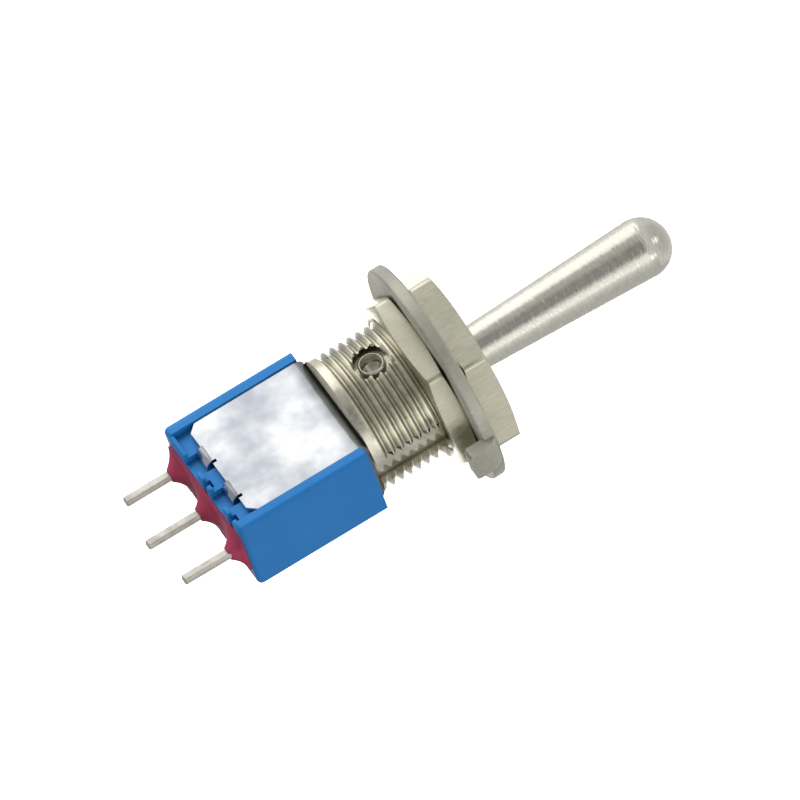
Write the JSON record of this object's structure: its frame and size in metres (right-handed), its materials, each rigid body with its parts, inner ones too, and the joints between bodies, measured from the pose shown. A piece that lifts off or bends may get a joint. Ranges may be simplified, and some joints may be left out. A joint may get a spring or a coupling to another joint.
{
  "type": "momentary toggle switch",
  "caption": "Momentary toggle switch: tapered lever in a threaded bushing with hex nuts and a tongued lock ring, blue moulded case in a steel strap, resin-sealed straight terminals",
  "frame": {"origin": "on the bushing's axis, on the top face of the steel strap that the bushing stands on", "axes": "+Z along the bushing towards the lever's tip; X along the row of terminals and the lever's swing, with the keyway and the ring's tongue at +X"},
  "size_m": [0.0197, 0.019, 0.048],
  "materials": {
    "blue_moulding": "satin",
    "strap_steel": "satin",
    "bushing_nickel": "satin",
    "pin_nickel": "satin",
    "lever_nickel": "gloss",
    "nut_nickel": "satin",
    "ring_nickel": "satin",
    "plunger_plastic": "satin",
    "spring_wire": "satin",
    "contact_brass": "satin",
    "contact_silver": "satin",
    "terminal_tin": "satin",
    "red_resin": "gloss"
  },
  "bodies": {
    "base": {"case": "blue_moulding", "strap": "strap_steel", "bushing": "bushing_nickel", "pivot_pin": "pin_nickel", "fixed_contact_left": "contact_silver", "fixed_contact_right": "contact_silver", "terminal_left": "terminal_tin", "terminal_centre": "terminal_tin", "terminal_right": "terminal_tin", "resin_seal": "red_resin"},
    "toggle": {"lever": "lever_nickel", "plunger_spring": "spring_wire"},
    "plunger_body": {"plunger": "plunger_plastic"},
    "rocker_body": {"rocker": "contact_brass", "rocker_contact_left": "contact_silver", "rocker_contact_right": "contact_silver"},
    "ring_body": {"lock_ring": "ring_nickel"},
    "front_nut_body": {"front_nut": "nut_nickel"},
    "rear_nut_body": {"rear_nut": "nut_nickel"}
  },
  "joints": [
    {"name": "lever_swing", "type": "hinge", "parent": "base", "child": "toggle", "pos_m": [0, 0, 0.0038], "axis": [0, 1, 0], "range_deg": [-11, 11], "stiffness_Nm_per_rad": 0.3},
    {"name": "plunger_press", "type": "slide", "parent": "toggle", "child": "plunger_body", "axis": [0, 0, 1], "range_m": [0, 0.0008], "stiffness_N_per_m": 300, "deforming": ["plunger_spring"]},
    {"name": "rocker_tilt", "type": "hinge", "parent": "base", "child": "rocker_body", "pos_m": [0, 0, -0.0069], "axis": [0, 1, 0], "range_deg": [-7.8, 7.8]},
    {"name": "stack_slide", "type": "slide", "parent": "base", "child": "ring_body", "axis": [0, 0, 1], "range_m": [-0.00516, 0.00119]},
    {"name": "front_nut_turn", "type": "hinge", "parent": "ring_body", "child": "front_nut_body", "pos_m": [0, 0, 0.01], "axis": [0, 0, 1], "range_deg": [-2345, 545]},
    {"name": "rear_nut_turn", "type": "hinge", "parent": "ring_body", "child": "rear_nut_body", "pos_m": [0, 0, 0.007], "axis": [0, 0, 1], "range_deg": [-2345, 545]}
  ],
  "couplings": [
    {"joint": "rocker_tilt", "follows": "lever_swing", "ratio": -0.7},
    {"joint": "front_nut_turn", "follows": "stack_slide", "rad_per_m": 7915.8},
    {"joint": "rear_nut_turn", "follows": "stack_slide", "rad_per_m": 7915.8}
  ]
}
